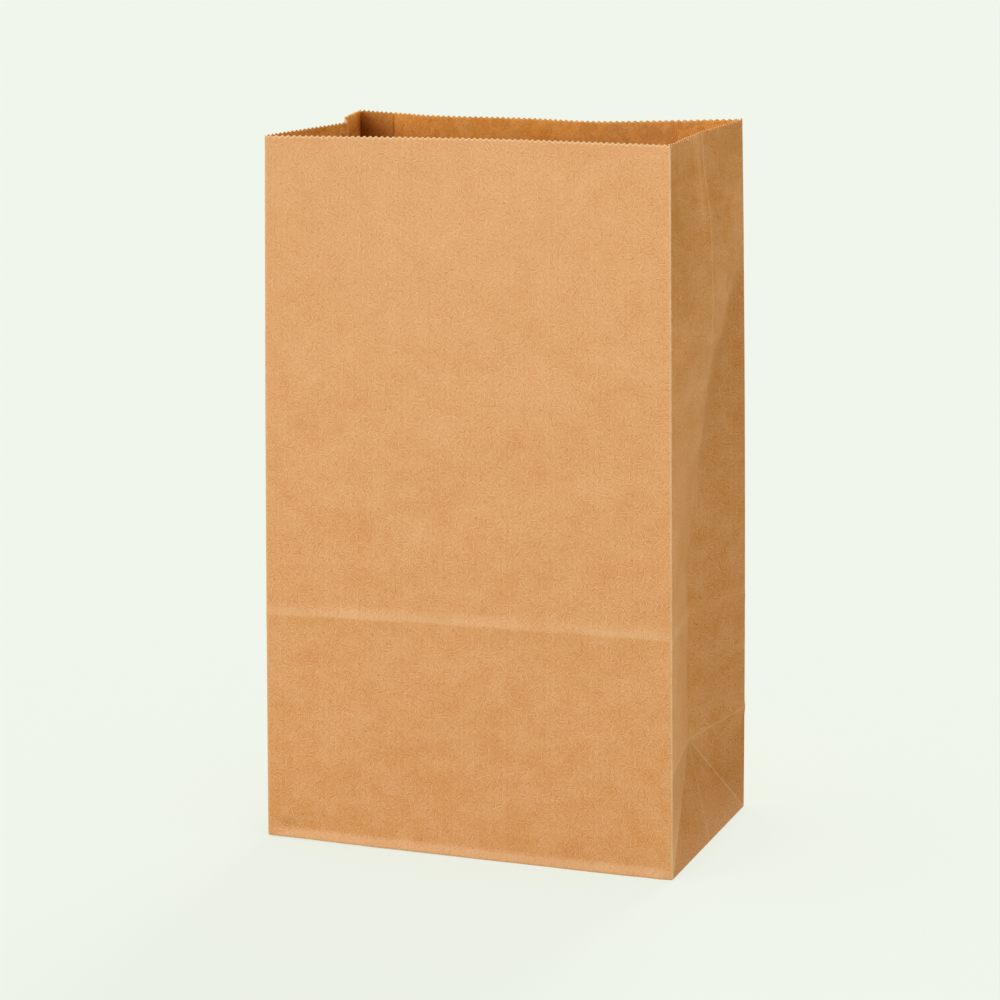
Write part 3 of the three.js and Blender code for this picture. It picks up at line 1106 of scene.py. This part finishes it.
def fibre_layer(n, sheet, offset, scale):
    """One stroke at the middle of each cell, turned, bent and deepened at random."""
    place = n.moved(sheet, (offset, 0.5 * offset))
    cells = n.cells(place, scale)
    turn, bend, depth = n.add("ShaderNodeSeparateColor", {"Color": cells["Color"]}).outputs
    away = n.vector_math("SUBTRACT", place, cells["Position"])
    inputs = {"Vector": away, "Angle": n.math("MULTIPLY", turn, 2.0 * math.pi)}
    turned = n.add("ShaderNodeVectorRotate", inputs, rotation_type="Z_AXIS").outputs["Vector"]
    along, across, _ = n.split(turned)
    curve = n.math("MULTIPLY", n.math("SUBTRACT", bend, 0.5), FIBRE_CURVE)
    curve = n.math("MULTIPLY", curve, n.math("MULTIPLY", along, along))
    profile = n.ramp(n.math("ADD", n.math("ADD", across, curve), 0.5), STROKE_STOPS)
    shown = n.remap(n.math("ABSOLUTE", along), *STROKE_END, 1.0, 0.0)
    shown = n.math("MULTIPLY", shown, n.remap(depth, 0.0, 1.0, STROKE_FAINTEST, 1.0))
    return n.math("MULTIPLY", n.math("SUBTRACT", profile, 0.5), shown)


def kraft_fibres(n, sheet):
    """Sum of the layers of strokes, 0 where there are none."""
    layers = [fibre_layer(n, sheet, offset, scale) for offset, scale in FIBRE_LAYERS]
    total = layers[0]
    for layer in layers[1:]:
        total = n.math("ADD", total, layer)
    return total


# Noises have a scale, detail and roughness, and ranges a start, an end and the values there
CLOUD = (0.10, 3.0, 0.8)
CLOUD_SHARE = 0.7
CLOUD_BASE = 0.15
GRAIN = (1.1, 2.0, 0.7)
GRAIN_PLACE = ((13.0, 7.0), 0.4)
GRAIN_SHARE = 0.6
FIBRE_SHARE = 1.1
SPECK_SCALE = 0.12
SPECK_EDGE = (0.024, 0.046)
SPECK_DEPTH = 0.6


def kraft_tone(n, sheet, cloud, grain):
    """Lightness of the paper from 0 to 1, with its clouds, fibres, grain and dark specks."""
    tone = n.math("MULTIPLY_ADD", cloud, CLOUD_SHARE, CLOUD_BASE)
    uneven = n.math("MULTIPLY", n.math("SUBTRACT", grain, 0.5), GRAIN_SHARE)
    fibres = n.math("MULTIPLY_ADD", kraft_fibres(n, sheet), FIBRE_SHARE, uneven)
    specks = n.cells(sheet, SPECK_SCALE)
    speck = n.remap(specks["Distance"], *SPECK_EDGE, SPECK_DEPTH, 0.0)
    return n.math("SUBTRACT", n.math("ADD", tone, fibres), speck, clamp=True)


# Worn lines are broken by a noise. A fold that the mesh doesn't follow is drawn by its distance.
BREAK = (0.35, 2.0, 0.5)
BREAK_RANGE = (0.3, 0.6, 0.6, 1.0)
WEAR_POWER = 3.0
WEAR_STRENGTH = 0.8
FOLD_LINE = (0.05, 0.5, 0.38, 0.0)


def kraft_wear_and_painted_light(n, sheet, fold_gap, crease, painted_shading):
    """How far the colour turns to bare fibre on the worn folds, and to the same pale where light is
    painted.
    """
    broken = n.remap(n.noise(sheet, *BREAK), *BREAK_RANGE)
    folded = n.math("MULTIPLY", n.math("POWER", crease, WEAR_POWER), WEAR_STRENGTH)
    fold_line = n.remap(n.math("ABSOLUTE", fold_gap), *FOLD_LINE)
    pale = n.math("MULTIPLY", painted_shading, -1.0, clamp=True)
    lines = n.math("MULTIPLY", n.math("MAXIMUM", folded, fold_line), broken)
    return n.math("MAXIMUM", lines, pale)


# Stains of the inside, and the pale cut by its distance
STAIN = (0.18, 3.0, 0.65)
STAIN_PLACE = ((31.0, 3.0), 0.2)
STAIN_RANGE = (0.43, 0.60)
CUT_RANGE = (0.2, 0.55, 0.95, 0.0)


def kraft_colour(n, sheet, tone, lines, side):
    """Browns by tone, then the inside's painted light, the glue and painted corner shade, stains, painted
    shade, worn folds with painted light, and the cut.
    """
    fold_gap, crease, cut_gap = lines
    inner, glue_and_shade, painted_shading = side
    colour = n.ramp(tone, KRAFT_STOPS)
    colour = n.tinted(inner, colour, INSIDE_PAINTED_LIGHT)
    colour = n.tinted(glue_and_shade, colour, GLUE_AND_SHADE_TINT)
    stain = n.remap(n.noise(n.moved(sheet, *STAIN_PLACE), *STAIN), *STAIN_RANGE)
    colour = n.tinted(n.math("MULTIPLY", stain, inner), colour, STAIN_TINT)
    colour = n.tinted(n.math("MULTIPLY", painted_shading, 1.0, clamp=True), colour, PAINTED_SHADE_TINT)
    colour = n.mix(kraft_wear_and_painted_light(n, sheet, fold_gap, crease, painted_shading), colour, opaque(WORN_AND_LIT))
    return n.mix(n.remap(cut_gap, *CUT_RANGE), colour, opaque(CUT))


# Surface: roughness by cloud and on the inside, gloss outside and inside and lower where shade is painted,
# and the relief of the grain
ROUGH_RANGE = (0.3, 0.7, 0.46, 0.52)
ROUGH_INSIDE = 0.35
GLOSS_RANGE = (0.0, 0.5, 0.5, 0.04)
GLOSS_IN_PAINTED_SHADE = 0.25
RELIEF_STRENGTH = 0.4
RELIEF_HEIGHT = 0.00004
PAPER_IOR = 1.68


def kraft_material():
    material, n = new_material("kraft_paper")
    sheet = n.attribute("sheet")
    lines = n.split(n.attribute("lines"))
    side = n.split(n.attribute("side"))
    inner, _, painted_shading = side
    cloud = n.noise(sheet, *CLOUD)
    grain = n.noise(n.moved(sheet, *GRAIN_PLACE), *GRAIN)
    tone = kraft_tone(n, sheet, cloud, grain)
    relief = {"Strength": RELIEF_STRENGTH, "Distance": RELIEF_HEIGHT, "Height": grain}
    gloss = n.remap(inner, *GLOSS_RANGE)
    shader = n.add("ShaderNodeBsdfPrincipled", {
        "Base Color": kraft_colour(n, sheet, tone, lines, side),
        "Roughness": n.math("MULTIPLY_ADD", inner, ROUGH_INSIDE, n.remap(cloud, *ROUGH_RANGE)),
        "Specular IOR Level": n.math("MULTIPLY", gloss, n.remap(painted_shading, 0.0, 1.0, 1.0, GLOSS_IN_PAINTED_SHADE)),
        "IOR": PAPER_IOR,
        "Normal": n.add("ShaderNodeBump", relief).outputs["Normal"],
    })
    n.show(shader)
    return material


# Floor, background and light, in metres
PALE = (0.855, 0.905, 0.823)
WHITE = (1.0, 1.0, 1.0)
WARM = (1.0, 0.957, 0.93)
FLOOR_HALF = 30.0
FLOOR_EVENNESS = 0.75
FLOOR_SHOWN = 1.06
WORLD_LIGHT = 0.48


def seen_directly(n):
    """1 for what the camera sees itself, or in a mirror or through glass."""
    path = n.add("ShaderNodeLightPath").outputs
    seen = n.math("MAXIMUM", path["Is Camera Ray"], path["Is Glossy Ray"])
    return n.math("MAXIMUM", seen, path["Is Transmission Ray"])


def mixed_shader(n, factor, first, second):
    return n.add("ShaderNodeMixShader", {0: factor, 1: first.outputs[0], 2: second.outputs[0]})


def make_floor():
    half = FLOOR_HALF
    data = bpy.data.meshes.new("floor")
    corners = [(-half, -half, 0), (half, -half, 0), (half, half, 0), (-half, half, 0)]
    data.from_pydata(corners, [], [(0, 1, 2, 3)])
    floor = add_object("floor", data)
    material, n = new_material("pale_floor")
    lit = n.add("ShaderNodeBsdfDiffuse", {"Color": opaque(PALE)})
    shown = n.add("ShaderNodeEmission", {"Color": opaque(PALE), "Strength": FLOOR_SHOWN})
    n.show(mixed_shader(n, n.math("MULTIPLY", seen_directly(n), FLOOR_EVENNESS), lit, shown))
    data.materials.append(material)


def make_world():
    world = bpy.data.worlds.new("studio")
    bpy.context.scene.world = world
    world.use_nodes = True
    n = Nodes(world.node_tree)
    light = n.add("ShaderNodeBackground", {"Color": opaque(WHITE), "Strength": WORLD_LIGHT})
    shown = n.add("ShaderNodeBackground", {"Color": opaque(PALE), "Strength": 1.0})
    n.show(mixed_shader(n, seen_directly(n), light, shown), "ShaderNodeOutputWorld")


def direction(azimuth, elevation):
    """Unit vector towards an azimuth, 0 in front and 90 on the right, and an elevation."""
    a, e = math.radians(azimuth), math.radians(elevation)
    return Vector((math.sin(a) * math.cos(e), -math.cos(a) * math.cos(e), math.sin(e)))


# Soft lamps: place, size across and up, and power. Suns: azimuth, elevation, strength and spread.
KEY_LAMP = ((-0.70, -0.80, 0.62), (0.6, 0.6), 3.4)
FRONT_LAMP = ((-0.30, -1.25, 0.235), (0.7, 0.4), 3.34)
FILL_LAMP = ((0.985, 0.17, 0.12), (0.5, 0.3), 2.02)
TOP_SUN = (-20.0, 84.0, 0.75, 40.0)
RIM_SUN = (178.0, 14.0, 2.1, 25.0)


def add_sun(name, azimuth, elevation, strength, spread, glossy=True):
    lamp = bpy.data.lights.new(name, "SUN")
    lamp.energy = strength
    lamp.angle = math.radians(spread)
    sun = add_object(name, lamp)
    sun.visible_glossy = glossy
    sun.rotation_euler = direction(azimuth, elevation).to_track_quat("Z", "Y").to_euler()


def add_area(name, place, size, power, lit, glossy=True, colour=WHITE):
    """Soft rectangular lamp that faces the middle of the bag and lights that piece only."""
    lamp = bpy.data.lights.new(name, "AREA")
    lamp.color = colour
    lamp.shape = "RECTANGLE"
    lamp.size, lamp.size_y = size
    lamp.energy = power
    area = add_object(name, lamp)
    area.location = place
    area.visible_camera = False
    area.visible_glossy = glossy
    only = bpy.data.collections.new(name + "_receivers")
    only.objects.link(lit)
    area.light_linking.receiver_collection = only
    away = Vector(place) - Vector((0.0, 0.0, HEIGHT * MM / 2))
    area.rotation_euler = away.to_track_quat("Z", "Y").to_euler()


# Dark card: a strip on the floor beside the bag, a side standing on it, and a raised back
CARD_COLOUR = (0.04, 0.03, 0.02)
CARD_EDGE = 0.088
CARD_SIDE = 0.17
CARD_BACK_LEFT = -0.05
CARD_NEAR = 0.0
CARD_FAR = 0.45
CARD_LOW = 0.0005
CARD_LIFT = 0.06
CARD_TOP = 0.6


def add_flag():
    """Dark card behind the right side, which only tempers the gloss of the paper."""
    points = [
        (CARD_EDGE, CARD_NEAR, CARD_LOW), (CARD_SIDE, CARD_NEAR, CARD_LOW),
        (CARD_SIDE, CARD_FAR, CARD_LOW), (CARD_EDGE, CARD_FAR, CARD_LOW),
        (CARD_SIDE, CARD_NEAR, CARD_TOP), (CARD_SIDE, CARD_FAR, CARD_TOP),
        (CARD_BACK_LEFT, CARD_FAR, CARD_LIFT), (CARD_SIDE, CARD_FAR, CARD_LIFT),
        (CARD_BACK_LEFT, CARD_FAR, CARD_TOP),
    ]
    data = bpy.data.meshes.new("flag")
    data.from_pydata(points, [], [(0, 1, 2, 3), (1, 2, 5, 4), (6, 7, 5, 8)])
    flag = add_object("flag", data)
    material, n = new_material("dark_card")
    n.show(n.add("ShaderNodeBsdfDiffuse", {"Color": opaque(CARD_COLOUR)}))
    data.materials.append(material)
    for rays in ("camera", "diffuse", "transmission", "volume_scatter", "shadow"):
        setattr(flag, "visible_" + rays, False)


# Camera, from the photograph's perspective
CAMERA_AZIMUTH = 20.3321
CAMERA_ELEVATION = 11.4879
CAMERA_DISTANCE = 1.09777
CAMERA_ROLL = -0.2938
CAMERA_LENS = 111.677
CAMERA_SENSOR = 36.0
CAMERA_CLIP = 0.01
CAMERA_TARGET = Vector((-0.0032013, 0.0, 0.118089))


def make_camera():
    back = direction(CAMERA_AZIMUTH, CAMERA_ELEVATION)
    right = Vector((0.0, 0.0, 1.0)).cross(back).normalized()
    up = back.cross(right)
    roll = math.radians(CAMERA_ROLL)
    rolled_right = right * math.cos(roll) + up * math.sin(roll)
    rolled_up = up * math.cos(roll) - right * math.sin(roll)
    place = CAMERA_TARGET + back * CAMERA_DISTANCE
    data = bpy.data.cameras.new("camera")
    data.sensor_width = CAMERA_SENSOR
    data.lens = CAMERA_LENS
    data.clip_start = CAMERA_CLIP
    camera = add_object("camera", data)
    camera.matrix_world = Matrix((
        (rolled_right.x, rolled_up.x, back.x, place.x),
        (rolled_right.y, rolled_up.y, back.y, place.y),
        (rolled_right.z, rolled_up.z, back.z, place.z),
        (0.0, 0.0, 0.0, 1.0),
    ))
    bpy.context.scene.camera = camera


bag = make_bag()
bag.data.materials.append(kraft_material())
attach(bag, "root")
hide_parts("paper_bag")
make_floor()
make_world()
add_area("key", *KEY_LAMP, bag)
add_area("front", *FRONT_LAMP, bag)
add_area("fill", *FILL_LAMP, bag, glossy=False, colour=WARM)
add_sun("top", *TOP_SUN)
add_sun("rim", *RIM_SUN, glossy=False)
add_flag()
make_camera()
bpy.context.scene.view_settings.view_transform = "Standard"
